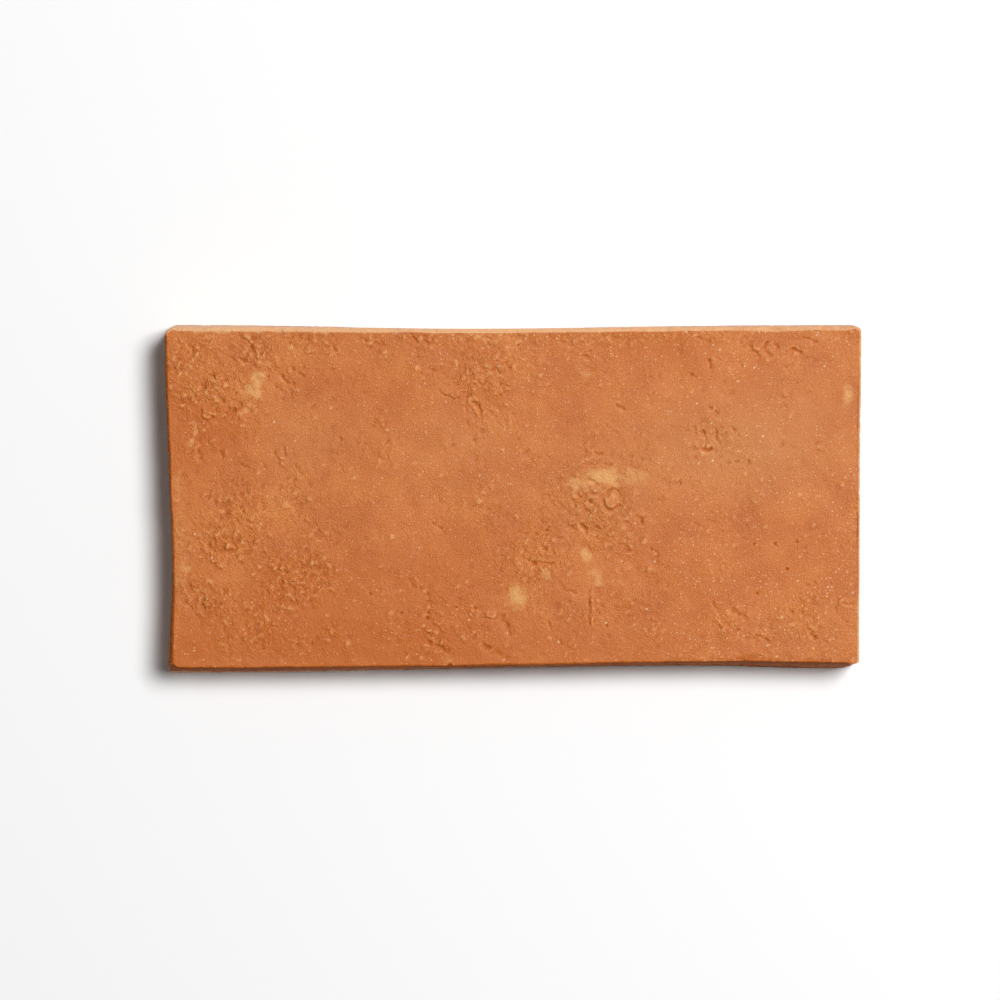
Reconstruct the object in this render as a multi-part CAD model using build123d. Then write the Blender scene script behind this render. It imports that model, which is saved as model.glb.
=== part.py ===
from build123d import *
import os
from collections import namedtuple

# A handmade rectangular terracotta tile, lying on its back with its struck face up.
# The origin is the middle of the back, X runs along the length and +Y points to the far side.
# The walls flare out from the face to the foot, which is the edge that the tile stands on.

# Overall size, measured over the foot
length = 200.0
width = 101.0
thickness = 16.0

# The near right corner was cut short, so the near side runs out of square
near_right_short_x = 0.3
near_right_short_y = 1.3

# How far each corner of the face stands in from the foot below it
far_left_inset_x = 0.3
far_left_inset_y = 1.3
far_right_inset_x = 0.1
far_right_inset_y = 1.1
near_right_inset_x = 0.5
near_right_inset_y = 2.1
near_left_inset_x = 1.9
near_left_inset_y = 1.9

# Corner roundings in plan, at the face and at the foot. Two corners were drawn out along the near side.
face_far_left_radius = 2.6
face_far_right_radius = 1.8
face_near_right_radius = 0.75
face_near_left_run_x = 5.0
face_near_left_run_y = 1.9
foot_far_left_radius = 2.8
foot_far_right_radius = 2.0
foot_near_right_run_x = 8.0
foot_near_right_run_y = 2.2
foot_near_left_radius = 1.4
# How far the handles of a corner's curve reach to its sharp point, so that it is a quarter of an ellipse
quarter_handle_share = 0.5523

# How deep each side bows inward as the clay dries, at the face and at the foot
face_far_bow = 0.55
face_right_bow = 0.1
face_near_bow = 0.65
face_left_bow = 1.0
foot_far_bow = 1.1
foot_right_bow = 0.4
foot_near_bow = 1.1
foot_left_bow = 1.1

# Where each side bows: share of the way along the side, share of the bow's depth
far_bow_shares = ((0.19, 0.32), (0.40, 1.00), (0.70, 0.40))
right_bow_shares = ((0.28, 0.50), (0.50, 1.00), (0.76, 0.15))
face_near_bow_shares = ((0.16, 1.00), (0.28, 0.97), (0.50, 0.30), (0.75, 0.00))
foot_near_bow_shares = ((0.15, 0.73), (0.28, 1.00), (0.50, 0.65), (0.75, 0.10))
left_bow_shares = ((0.23, 1.00), (0.50, 0.72), (0.79, 0.11))

# Edges
arris_radius = 0.6
foot_ease = 0.35

# The struck face rolls gently: its dips below the thickness, as shares of the deepest one.
# Rows run from the near side to the far side, and each row from the left end to the right end.
face_dip = 0.55
face_dip_shares = (
    (0.65, 0.35, 0.75, 0.45, 0.55),
    (0.25, 0.75, 1.00, 0.60, 0.05),
    (0.10, 0.90, 0.55, 0.80, 0.00),
    (0.45, 0.25, 0.60, 0.10, 0.30),
)

# Room that the cut of the struck face takes around and above the slab
overrun = 8.0

Corner = namedtuple("Corner", "x y run_x run_y")
Side = namedtuple("Side", "along inward bow bow_shares")

# Sides in clockwise order as seen from above, each from its first corner to its second one
far_axes = (Vector(1, 0), Vector(0, -1))
right_axes = (Vector(0, -1), Vector(-1, 0))
near_axes = (Vector(-1, 0), Vector(0, 1))
left_axes = (Vector(0, 1), Vector(1, 0))


def corner_run(corner, side):
    return abs(side.along.X) * corner.run_x + abs(side.along.Y) * corner.run_y


def side_curve(first, second, side):
    # The ends run square to their neighbours, so that the corner curves join them smoothly.
    start = Vector(first.x, first.y) + side.along * corner_run(first, side)
    end = Vector(second.x, second.y) - side.along * corner_run(second, side)
    inner = [
        start + (end - start) * way_share + side.inward * (side.bow * depth_share)
        for way_share, depth_share in side.bow_shares
    ]
    return Spline(start, *inner, end, tangents=(side.along, side.along))


def corner_curve(start, corner, end):
    point = Vector(corner.x, corner.y)
    first_handle = start + (point - start) * quarter_handle_share
    second_handle = end + (point - end) * quarter_handle_share
    return Bezier(start, first_handle, second_handle, end)


def outline(corners, sides, height):
    edges = []
    following = corners[1:] + corners[:1]
    curves = [side_curve(*ends) for ends in zip(corners, following, sides)]
    for curve, next_curve, corner in zip(curves, curves[1:] + curves[:1], following):
        edges.append(curve)
        edges.append(corner_curve(curve @ 1, corner, next_curve @ 0))
    return Pos(0, 0, height) * make_face(edges)


def foot_corners():
    half_length = length / 2
    half_width = width / 2
    near_right_x = half_length - near_right_short_x
    near_right_y = near_right_short_y - half_width
    return [
        Corner(-half_length, half_width, foot_far_left_radius, foot_far_left_radius),
        Corner(half_length, half_width, foot_far_right_radius, foot_far_right_radius),
        Corner(near_right_x, near_right_y, foot_near_right_run_x, foot_near_right_run_y),
        Corner(-half_length, -half_width, foot_near_left_radius, foot_near_left_radius),
    ]


def face_corners():
    far_left, far_right, near_right, near_left = foot_corners()
    far_left_x = far_left.x + far_left_inset_x
    far_left_y = far_left.y - far_left_inset_y
    far_right_x = far_right.x - far_right_inset_x
    far_right_y = far_right.y - far_right_inset_y
    near_right_x = near_right.x - near_right_inset_x
    near_right_y = near_right.y + near_right_inset_y
    near_left_x = near_left.x + near_left_inset_x
    near_left_y = near_left.y + near_left_inset_y
    return [
        Corner(far_left_x, far_left_y, face_far_left_radius, face_far_left_radius),
        Corner(far_right_x, far_right_y, face_far_right_radius, face_far_right_radius),
        Corner(near_right_x, near_right_y, face_near_right_radius, face_near_right_radius),
        Corner(near_left_x, near_left_y, face_near_left_run_x, face_near_left_run_y),
    ]


def flared_slab():
    foot_sides = [
        Side(*far_axes, foot_far_bow, far_bow_shares),
        Side(*right_axes, foot_right_bow, right_bow_shares),
        Side(*near_axes, foot_near_bow, foot_near_bow_shares),
        Side(*left_axes, foot_left_bow, left_bow_shares),
    ]
    face_sides = [
        Side(*far_axes, face_far_bow, far_bow_shares),
        Side(*right_axes, face_right_bow, right_bow_shares),
        Side(*near_axes, face_near_bow, face_near_bow_shares),
        Side(*left_axes, face_left_bow, left_bow_shares),
    ]
    foot = outline(foot_corners(), foot_sides, 0)
    face = outline(face_corners(), face_sides, thickness)
    return loft([foot, face], ruled=True)


def above_struck_face():
    # Everything above the rolling face, with room to spare around the slab
    across = width + 2 * overrun
    along = length + 2 * overrun
    last_row = len(face_dip_shares) - 1
    rows = []
    for row, dip_shares in enumerate(face_dip_shares):
        y = across * row / last_row - across / 2
        last_column = len(dip_shares) - 1
        rows.append([
            Vector(along * column / last_column - along / 2, y, thickness - face_dip * dip_share)
            for column, dip_share in enumerate(dip_shares)
        ])
    struck_face = Face.make_surface_from_array_of_points(rows)
    return extrude(struck_face, overrun, dir=(0, 0, 1))


def terracotta_tile():
    tile = flared_slab() - above_struck_face()
    face_edges = tile.faces().sort_by(Axis.Z)[-1].edges()
    tile = fillet(face_edges, arris_radius)
    foot_edges = tile.faces().sort_by(Axis.Z)[0].edges()
    return fillet(foot_edges, foot_ease)


os.makedirs("parts", exist_ok=True)
export_step(terracotta_tile(), "parts/terracotta_tile.step")
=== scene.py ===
import bpy
import math
import numpy as np
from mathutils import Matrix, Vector, noise
from mathutils.bvhtree import BVHTree


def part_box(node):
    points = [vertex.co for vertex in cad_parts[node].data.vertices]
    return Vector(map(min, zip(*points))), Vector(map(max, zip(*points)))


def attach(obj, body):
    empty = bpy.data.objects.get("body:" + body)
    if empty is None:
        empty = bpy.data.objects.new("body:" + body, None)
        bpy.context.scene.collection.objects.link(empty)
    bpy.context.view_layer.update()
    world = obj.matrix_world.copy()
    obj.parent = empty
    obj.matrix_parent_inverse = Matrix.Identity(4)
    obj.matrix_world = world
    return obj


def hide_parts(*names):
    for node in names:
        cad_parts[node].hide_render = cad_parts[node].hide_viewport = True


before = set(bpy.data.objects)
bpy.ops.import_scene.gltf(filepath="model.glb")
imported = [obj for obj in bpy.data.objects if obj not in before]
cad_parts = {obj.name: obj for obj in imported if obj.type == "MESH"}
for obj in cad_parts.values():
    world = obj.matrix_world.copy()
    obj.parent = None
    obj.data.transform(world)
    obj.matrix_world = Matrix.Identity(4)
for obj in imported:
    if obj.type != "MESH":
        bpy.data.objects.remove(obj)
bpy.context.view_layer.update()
tileLow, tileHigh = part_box("terracotta_tile")
mm = 0.001
print("frame loaded, tile box in mm:", [round(side / mm, 2) for side in tileHigh - tileLow])

# How the photo sees the struck face, straight down from above
photoView = {
    "pixel": 0.2863 * mm,               # one photo pixel on the struck face
    "aimPixel": (500.0, 500.0),         # the pixel that the lens points at
    "aim": (-3.65 * mm, -0.32 * mm),    # where that pixel falls on the tile
    "imageSide": 1000,
    "lens": 100.0,                      # a long lens, so the walls hardly show
    "sensor": 24.0,
}


def toPixels(points):
    px = photoView["aimPixel"][0] + (points[..., 0] - photoView["aim"][0]) / photoView["pixel"]
    py = photoView["aimPixel"][1] - (points[..., 1] - photoView["aim"][1]) / photoView["pixel"]
    return px, py


def smoothStep(low, high, value):
    way = np.clip((value - low) / (high - low), 0.0, 1.0)
    return way * way * (3.0 - 2.0 * way)


def noiseAt(u, v, w):
    spots = zip(u.ravel().tolist(), v.ravel().tolist(), w.ravel().tolist())
    made = np.fromiter((noise.noise(spot) for spot in spots), float, u.size)
    return made.reshape(u.shape)


def clayNoise(px, py, size, seed, stretch=1.0, turn=0.0):
    # Perlin noise over photo pixels: stretch draws it out along the turned direction, in degrees
    c, s = math.cos(math.radians(turn)), math.sin(math.radians(turn))
    along = (px * c + py * s) / (size * stretch)
    across = (py * c - px * s) / size
    return noiseAt(along, across, np.full(along.shape, seed))


def bendPixels(px, py, amount, size, seed):
    # shifts points about, so that what is drawn over them looks torn
    return px + amount * clayNoise(px, py, size, seed), py + amount * clayNoise(px, py, size, seed + 1)


# Marks on the struck face, placed in photo pixels. Heights and depths are in mm.
struckFace = {
    "sink": 0.42,                       # keeps crumbs below the highest point of the solid
    "wobble": (1.7, 4.5, 11.5),         # shift, size and seed of what bends the marks
    # broad rolls, dimples and drag lines: height, then the wave's size, seed, stretch and turn
    "swells": ((0.26, 70, 1.5), (0.13, 15, 2.5), (0.03, 6, 3.5, 6, 62)),
    "roughBase": 0.05, "roughSwing": 0.45, "roughWave": (26, 5.5), "roughEdge": 1.2,
    # rough places: x, y, half width, half height, strength
    "roughSpots": (
        (228, 535, 50, 45, 0.75), (285, 575, 55, 40, 0.75), (215, 600, 50, 30, 0.6),
        (215, 375, 60, 50, 0.74), (262, 630, 75, 25, 0.4), (300, 500, 45, 30, 0.35),
        (600, 515, 60, 60, 0.5), (618, 612, 45, 30, 0.4), (545, 555, 40, 40, 0.45), (480, 370, 45, 45, 0.5),
        (705, 425, 30, 45, 0.2), (800, 622, 55, 35, 0.45), (738, 620, 30, 25, 0.4),
        (780, 350, 45, 25, 0.25), (440, 620, 40, 40, 0.35), (320, 635, 60, 25, 0.5),
        (500, 337, 340, 9, 0.5), (185, 520, 16, 110, 0.5),
    ),
    "wrinkle": 0.30, "wrinkleWave": (6.5, 4.5, 1.3, 52), "wrinkleDrop": 0.2,
    "tear": 0.17, "tearWave": (7, 6.5, 1.4, 48), "fineTear": 0.5, "fineTearWave": (3.5, 7.5, 1.4, 48),
    "tearEdge": (0.12, 0.20), "tearHold": 0.42, "roughTear": 0.65,
    "crumb": 0.18, "crumbWave": (5, 8.5), "crumbEdge": (0.12, 0.40),
    "broken": (0.66, 1.1), "brokenWave": (4.5, 13.5), "brokenLimits": (0.12, 1.2),
    # cracks and slits: width and depth, then x and y of each point on the line
    "slits": (
        # far left
        (1.3, 0.55, 231, 357, 235, 359.8, 238, 359, 244, 361),
        (1.5, 0.40, 244, 338, 247, 340, 250, 344, 251, 349, 252.5, 353, 255, 357),
        (1.4, 0.38, 235, 401, 239, 402, 240.5, 404.5), (1.6, 0.36, 208.5, 401, 210, 404, 213, 406),
        (1.6, 0.50, 201.5, 412.5, 202, 417, 205.5, 419.3, 212, 418.3),
        (1.2, 0.32, 306, 346.5, 305.5, 350, 308, 353.3, 311, 354), (1.4, 0.32, 199, 344, 201, 348),
        (1.4, 0.32, 178, 343, 181, 349), (1.3, 0.30, 191.5, 348, 193, 352), (1.3, 0.30, 184, 349, 187, 353),
        (1.3, 0.30, 194, 396, 198, 400), (1.3, 0.32, 216, 408, 217.5, 413), (1.3, 0.30, 221, 400, 222, 405),
        (1.3, 0.30, 229, 396, 233, 400), (1.4, 0.36, 281, 375, 285, 380, 288, 383),
        (1.3, 0.32, 291, 383, 295, 387), (1.4, 0.30, 275, 385, 280, 390),
        (1.4, 0.36, 293, 368, 297, 373, 303, 376), (1.3, 0.28, 300.5, 363, 304, 368),
        (1.3, 0.28, 329, 363.5, 333, 368), (1.3, 0.28, 322, 345, 327, 347),
        (1.4, 0.32, 333.5, 346, 336.5, 352), (1.3, 0.28, 268, 343, 271, 346),
        (1.3, 0.28, 273, 366, 274, 371), (1.8, 0.38, 359, 339, 370, 342, 382, 345),
        # left
        (1.3, 0.36, 199, 452.5, 201.5, 454), (1.2, 0.32, 210.3, 440.5, 210, 444, 212, 446.3),
        (1.3, 0.30, 220, 452, 222.5, 456.5), (1.3, 0.30, 240, 464.5, 244, 467.5),
        (1.3, 0.26, 246, 466, 249, 468.5), (1.3, 0.28, 262, 463, 265.5, 468),
        (1.5, 0.36, 284, 449, 285, 455), (1.4, 0.28, 273.5, 451, 277, 457.5),
        # far middle
        (1.3, 0.42, 413, 337, 417, 341), (1.3, 0.38, 425, 340, 429, 344), (1.3, 0.30, 415.5, 349, 416, 353),
        (1.3, 0.32, 482, 340, 490, 344), (1.5, 0.22, 465, 358, 464.5, 368, 464.5, 376),
        (1.5, 0.22, 468, 378, 470, 383), (1.4, 0.20, 468, 386, 467, 397),
        (1.4, 0.42, 483, 369, 490, 370, 496, 368.5, 500, 372),
        (1.4, 0.40, 478, 381.5, 482, 384, 485, 382.8, 490, 385), (1.4, 0.32, 500, 384, 507, 385.5),
        (1.4, 0.36, 429, 369, 433.5, 371), (1.3, 0.32, 441, 393, 444, 395, 447, 396),
        (1.3, 0.28, 450, 397, 456, 398.5), (1.3, 0.26, 497, 406, 500, 408.5),
        (1.2, 0.28, 466, 401, 465.5, 408, 467, 414, 466.5, 420, 469, 428),
        (1.5, 0.42, 473, 401, 477, 404, 480, 408, 481.5, 413), (1.3, 0.34, 519.5, 350, 519, 357),
        (1.5, 0.28, 571, 355, 588, 356), (1.6, 0.34, 616, 405, 625, 410), (1.5, 0.32, 596, 453, 601, 454),
        (1.6, 0.28, 586, 464, 598, 463, 610, 465),
        # far right
        (1.7, 0.60, 708.5, 361, 709, 363, 710.5, 366), (1.3, 0.28, 716.5, 355, 720, 359),
        (1.5, 0.30, 697, 337, 703, 339, 709, 340.5), (1.5, 0.32, 691, 374, 694, 377, 700, 380),
        (1.2, 0.52, 753, 350, 757, 353.3, 760, 356), (1.2, 0.32, 750, 346, 752, 350),
        (1.4, 0.56, 768, 342.5, 765.5, 347, 765, 349.5, 767, 352.5, 771, 354.5),
        (1.4, 0.44, 775.5, 343, 777, 346, 777.5, 348.5),
        (1.6, 0.56, 793, 349, 797, 350, 800, 351.8, 799.8, 355),
        (1.4, 0.36, 803, 337, 809, 338.3, 813, 340, 817, 342.5), (1.3, 0.32, 739.5, 363, 742.5, 366),
        (1.3, 0.24, 783, 397, 787, 399),
        # right
        (1.5, 0.38, 707, 403, 709, 406, 711.5, 408), (1.5, 0.36, 715, 409, 718, 413.5),
        (1.8, 0.38, 695, 431.5, 700, 433, 704, 432), (1.4, 0.28, 704, 434, 706.5, 438, 705.7, 447),
        (1.4, 0.34, 716, 431, 716, 439.5), (1.3, 0.26, 719, 441, 720, 446),
        (1.5, 0.62, 703, 449, 706, 450, 711, 449.5, 713, 451, 715.5, 451, 714.5, 454, 719, 457.5),
        (1.4, 0.36, 728.5, 427.5, 732, 427.5, 735.5, 430), (1.5, 0.28, 691, 521, 704, 528),
        # middle
        (1.8, 0.50, 603.5, 501, 606, 505.5, 610, 509, 614, 508.3, 618, 505),
        (2.4, 0.16, 602, 489.5, 608, 491, 614, 489.5, 619, 491, 623, 495, 625, 499),
        (1.3, 0.38, 577, 494, 581, 498, 585, 501.3, 589, 501.5), (1.3, 0.36, 590, 500, 592, 503, 595, 505),
        (1.3, 0.42, 589.8, 489.5, 591, 492, 594.5, 494),
        (1.3, 0.34, 584, 480.5, 588, 479.5, 592, 481, 597, 483.5),
        (1.4, 0.44, 583, 507, 586, 509, 588.5, 512, 592, 514),
        (1.2, 0.26, 543, 494.5, 552, 496, 560, 497, 568, 496.5),
        (1.3, 0.36, 571, 524, 573, 527, 576, 530, 577.5, 534),
        (1.5, 0.56, 580, 524, 583, 525.5, 585, 528, 587, 531.5), (1.4, 0.48, 592, 525.5, 596, 527),
        (1.3, 0.42, 598, 528, 600, 530, 601, 532.5), (1.3, 0.32, 596.5, 538, 600, 540, 608, 540),
        (1.4, 0.30, 636, 517, 640, 518.5, 643, 522, 645, 526), (1.3, 0.30, 576, 516, 578.5, 520.5),
        (1.4, 0.22, 519, 532, 540, 535, 560, 538), (1.6, 0.32, 540, 546, 547, 549),
        (1.4, 0.42, 534, 564, 540, 563, 546, 563.5, 554, 564), (2.0, 0.34, 528, 561, 533, 563.5),
        (1.4, 0.30, 549, 548, 552.5, 551), (1.2, 0.26, 589, 592, 588.7, 608, 589, 624),
        (1.6, 0.24, 560, 585, 566, 590, 575, 593), (1.4, 0.28, 548, 622, 552, 628),
        (1.4, 0.30, 651, 548, 655, 551, 657, 556), (1.5, 0.30, 432, 524, 443, 531),
        # near left
        (1.3, 0.36, 209, 545, 211, 549, 214, 551), (1.3, 0.34, 217, 550, 221, 552, 227, 554),
        (1.3, 0.28, 233, 541, 236, 548), (1.3, 0.28, 235, 517, 237, 521), (1.3, 0.32, 290, 587, 294, 590),
        (1.3, 0.32, 300, 580, 310, 580.5), (1.4, 0.36, 300.5, 585, 303, 589),
        (1.3, 0.32, 274, 565, 277, 570), (1.4, 0.36, 209, 608, 213, 611, 216, 610),
        (1.3, 0.36, 231, 608.5, 233.5, 611), (1.4, 0.32, 223, 623, 225, 637),
        # near middle
        (2.0, 0.30, 410, 580, 412, 586), (1.3, 0.42, 487, 617, 490, 618.7, 494.5, 619),
        (1.3, 0.38, 434, 624, 437.5, 626.8),
        (2.3, 0.42, 429, 642, 433, 645, 437, 647, 441, 648.5, 446, 651, 451, 654),
        (2.2, 0.28, 427, 594, 429, 606, 428, 618), (2.4, 0.40, 485, 646.5, 489, 650, 492, 652),
        (2.8, 0.28, 494, 652.5, 500, 655, 506, 658), (3.2, 0.36, 500, 616, 505, 622, 508, 629, 511, 632),
        (1.6, 0.90, 449.5, 664.5, 450.5, 668),
        # near right
        (1.3, 0.44, 839.5, 600, 843, 603, 847, 604.5, 851, 605), (1.3, 0.26, 843, 596, 846, 599),
        (1.5, 0.26, 836, 607, 838, 613), (1.6, 0.26, 841, 616, 842.5, 620, 846, 622),
        (1.8, 0.26, 733, 610, 740, 614, 747, 619), (1.6, 0.24, 713, 604, 716, 609, 719, 614),
        (1.5, 0.26, 728, 624, 732, 631, 738, 630), (1.8, 0.26, 747, 638, 755, 640, 764, 641),
        (1.3, 0.44, 812, 634, 814, 636, 817.5, 638), (1.3, 0.32, 808, 628.5, 809.5, 630),
        (1.5, 0.40, 756.5, 634.5, 760, 637, 765, 639, 769.5, 641.5),
        (1.3, 0.38, 790.5, 610.5, 792.5, 613.5), (1.4, 0.22, 813, 608, 815.5, 612.5),
        (2.6, 0.30, 735, 661, 790, 661, 830, 662),
    ),
    # raised lines
    "ridges": (
        (1.2, 0.32, 203, 406.5, 206, 411, 210, 412.5, 214.5, 415),
        (1.4, 0.30, 278.5, 453, 281, 458, 284, 457.5), (1.3, 0.28, 281, 463, 284.5, 465),
        (1.2, 0.22, 225.5, 451, 227, 456), (1.5, 0.26, 469, 402.5, 473, 407, 476, 413, 479, 421),
        (1.4, 0.32, 210, 551, 211, 557, 213, 562), (1.3, 0.26, 216, 562, 220, 566, 224, 570),
        (1.3, 0.24, 226, 546, 230, 550), (1.3, 0.22, 414, 578, 417, 585), (1.4, 0.24, 428, 630, 434, 632),
        (1.3, 0.24, 433, 638.5, 435, 642), (1.4, 0.20, 536, 550, 538, 557, 541, 560),
        (1.5, 0.26, 592, 592, 592.5, 624), (1.4, 0.26, 628, 604, 636, 606, 643, 609),
        (2.4, 0.12, 606, 421, 615, 430, 625, 438), (2.6, 0.12, 678, 465, 692, 476, 704, 488),
        (2.2, 0.22, 734, 606, 741, 610, 748, 614), (2.0, 0.20, 711, 608, 717, 617, 721, 624),
        (2.4, 0.20, 742, 628, 752, 633, 764, 636), (1.6, 0.16, 672, 656, 700, 658, 730, 657),
        (2.8, 0.14, 710, 655, 755, 653, 797, 652),
    ),
    # soft crumbs and dents: x, y, half length, half width, turn, height
    "lumps": (
        (244, 335.5, 2, 2, 0, 0.22), (248, 338, 2, 2, 0, 0.22), (209, 347, 2, 2, 0, 0.18),
        (253, 368, 2, 2, 0, 0.20), (419, 338, 2, 2, 0, 0.24), (428, 341.5, 2, 2, 0, 0.24),
        (436, 341, 2.2, 2, 0, 0.24), (441, 337, 2, 2, 0, 0.22), (431, 348, 2, 2, 0, 0.20),
        (405, 336, 2, 2, 0, 0.20), (440, 364, 2.5, 2.2, 0, 0.22), (435, 364, 2.5, 2.2, 0, 0.20),
        (304, 583, 3.5, 3, 0, 0.28), (301, 592, 3, 3, 0, 0.26), (288, 595, 3, 3, 0, 0.26),
        (278, 569, 3.5, 3, 0, 0.24), (331, 633, 4, 3, 20, 0.24), (339, 628, 3, 2.5, 0, 0.20),
        (330, 641, 3, 2.5, 0, 0.20), (541, 361, 3, 2.5, 0, 0.22), (548, 362, 2.5, 2.5, 0, 0.20),
        (846, 606.5, 2, 2, 0, 0.20), (397, 642, 3, 3, 0, -0.28), (614, 497, 2.5, 3, 0, 0.22),
    ),
    "flakeCalm": 0.75, "flakeEdge": (0.80, 1.08), "flakeReach": 1.2, "flakeMargin": 2.0,
    # flakes that lift towards their turned end, and scoops that sink towards it: minus heights
    "flakes": (
        (612.5, 500.5, 12, 13.5, -68, -0.36), (611.5, 500.5, 8.3, 8, 105, 0.66),
        (594, 489, 5, 4, 140, 0.40), (309.5, 350, 5, 4.6, 135, 0.36), (207, 414, 6, 5.4, 116, 0.62),
        (213, 443, 4.2, 3.8, 160, 0.34), (445, 390, 6, 5.5, 100, 0.30), (454, 391, 6.5, 5.5, 100, 0.26),
        (757, 346.5, 5, 4.5, 125, 0.34), (491, 613, 5.8, 5.5, 95, 0.46), (438, 622, 5.5, 4.5, 120, 0.34),
        (844, 600, 6, 4.5, 100, 0.34), (474.5, 412, 7.5, 14, -20, -0.30), (339, 440, 4.5, 3.5, -60, -0.42),
        (789, 355, 8, 4.5, -70, -0.34), (581, 501, 6.5, 4.5, -48, -0.28), (586, 513, 6.5, 4.5, -50, -0.32),
        (573, 529, 5.5, 4.5, -45, -0.30), (583, 530, 6, 5, -45, -0.34), (596, 531, 6.5, 5, -48, -0.34),
        (639, 522, 6, 4.5, -50, -0.28), (678, 485, 5, 3.5, -60, -0.32),
    ),
    # pin holes: x, y, radius, depth
    "pinHoles": (
        (517.5, 345, 1.0, 0.65), (590, 351, 1.0, 0.52), (787, 569, 1.2, 0.90), (754, 544, 1.0, 0.65),
        (775, 544, 1.0, 0.65), (797, 542, 1.0, 0.65), (757, 593.5, 1.1, 0.65), (401, 613, 1.0, 0.65),
        (475, 608.5, 1.0, 0.65), (456, 607.5, 1.0, 0.65), (370, 594, 1.0, 0.65), (428, 613, 1.2, 0.52),
        (426.5, 618, 1.3, 0.59), (261, 354, 1.1, 0.59), (290, 343.5, 1.0, 0.39), (268, 376.5, 1.0, 0.45),
        (232.5, 389.5, 1.0, 0.45), (229, 408.5, 1.0, 0.52), (211.5, 414.5, 1.0, 0.39),
        (421, 373.5, 1.0, 0.39), (507, 362, 1.0, 0.39), (500, 395, 1.0, 0.39), (575.5, 506, 1.1, 0.45),
        (620, 505.5, 1.0, 0.45), (547, 530, 1.3, 0.45), (243, 512, 1.0, 0.45), (191, 607, 1.0, 0.39),
        (606, 626, 1.0, 0.52),
    ),
    "grainEdge": (0.2, 0.8),
    # single pale grains of grog that stand out: x, y, radius
    "grains": (
        (763, 436, 1.2), (711.5, 423, 1.0), (697, 403.5, 1.0), (720, 349.5, 1.0), (713.5, 345, 1.0),
        (686, 332, 1.0), (738, 381, 1.0), (754.5, 367.5, 1.0), (745, 366, 0.9), (825, 366, 1.0),
        (274, 422, 1.0), (295, 441, 0.9), (211.5, 558, 1.1), (195, 534, 1.0), (207, 599, 0.8),
        (469, 620, 1.0), (606, 623, 1.0), (622, 561, 0.9), (655, 561.5, 0.9), (558.5, 642, 1.0),
        (647, 609, 1.0), (777, 656.5, 1.0), (766, 646, 1.0), (853, 592.5, 1.0), (798, 581, 1.0),
        (828, 587, 1.0), (817.5, 335, 1.0), (713, 460.5, 1.1), (498.5, 366, 1.0), (699, 463, 1.0),
    ),
}

# Small flakes and scoops at random, in photo pixels, thicker over the rough places
flakeScatter = {
    "seed": 26, "count": 1300, "tries": 4, "spanX": (172, 856), "spanY": (334, 662),
    "chance": 0.05, "roughChance": 0.8, "halfLength": (1.7, 4.0), "widthShare": (0.5, 0.95),
    "scoopShare": 0.55, "scoopTurn": -50, "flakeTurn": 125, "turnSpread": 40, "slope": (0.03, 0.08),
}

# Pale lime in the clay, in photo pixels
limeLook = {
    "warp": (2.5, 8, 21.5), "flecks": 1.0, "fleckWave": (3.2, 23.5, 2.2, 25), "edge": (0.16, 0.84),
    # x, y, half length, half width, turn, strength
    "blooms": (
        (257, 379, 6.5, 9, 0, 1.0), (252.5, 391, 10, 9.5, 0, 1.0), (246.5, 411, 3, 2.4, 0, 0.8),
        (604, 476, 21, 8.5, -6, 1.0), (616, 484, 4, 4.5, 0, 0.8), (579, 483, 13, 7, -10, 0.8),
        (634, 476, 16, 8, 5, 0.5), (614, 497, 3, 3.5, 0, 0.7), (516.5, 597, 9.5, 13, 0, 1.0),
        (848, 395, 5.5, 11.5, 0, 0.95), (586, 555, 7.8, 4.2, 72, 0.95), (598.5, 581, 4.8, 9.5, 0, 0.8),
        (594, 572, 5.5, 3.5, 0, 0.65), (547, 575, 4.5, 5.5, 0, 0.6), (486, 365, 3.4, 2.6, 0, 0.8),
        (487, 375, 2.2, 2.8, 0, 0.7), (478, 337, 3.2, 2.6, 0, 0.8), (486, 339.5, 4.2, 2.2, 15, 0.8),
        (494, 341.5, 3.2, 2.2, 0, 0.7), (500, 334, 2.6, 2.2, 0, 0.7), (585, 375, 6, 4, 0, 0.4),
        (193, 424, 4.4, 2.2, 10, 0.75), (194.5, 432, 2.2, 6.5, 0, 0.75), (192, 441, 2.4, 5.5, 20, 0.85),
        (190, 446, 2, 2.8, 0, 0.75), (178, 485, 2.5, 12, 0, 0.3), (187, 571, 3.4, 5.5, 0, 0.7),
        (181, 553, 8, 55, 0, 0.22), (199, 590, 3.2, 1.8, 0, 0.7), (201, 612, 2.2, 2, 0, 0.8),
        (192, 393, 3.2, 3.8, 0, 0.6), (182, 394, 2.8, 2.2, 0, 0.45), (291, 347.5, 3.2, 2.2, 0, 0.75),
        (327, 341, 2.2, 1.8, 0, 0.5), (332, 355, 2.2, 1.8, 0, 0.5), (245, 350, 2.2, 4.2, 0, 0.35),
        (267, 365, 2.6, 4.2, 0, 0.35), (188, 365.5, 3.2, 1.7, 45, 0.6),
    ),
}

# Broad changes of tone, in photo pixels: x, y, half width, half height, turn, paler or deeper
toneSpots = (
    (217, 430, 34, 28, 0, -0.9), (310, 610, 110, 55, 0, -0.7), (325, 384, 30, 18, 0, -0.4),
    (397, 394, 30, 16, 0, -0.4), (660, 350, 60, 18, 0, -0.7), (420, 648, 220, 28, 0, -0.8),
    (735, 450, 100, 45, 0, 0.9), (790, 400, 60, 40, 0, 0.25), (180, 400, 18, 70, 0, -0.4),
    (460, 440, 60, 50, 0, 0.3), (300, 440, 50, 50, 0, 0.35), (690, 590, 60, 40, 0, -0.25),
    (450, 580, 55, 40, 0, -0.8), (597, 500, 45, 35, 0, 0.6), (790, 570, 40, 40, 0, -0.4),
    (190, 475, 22, 40, 0, -0.5), (190, 650, 30, 25, 0, -0.6), (800, 630, 50, 30, 0, 0.3),
)


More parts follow.
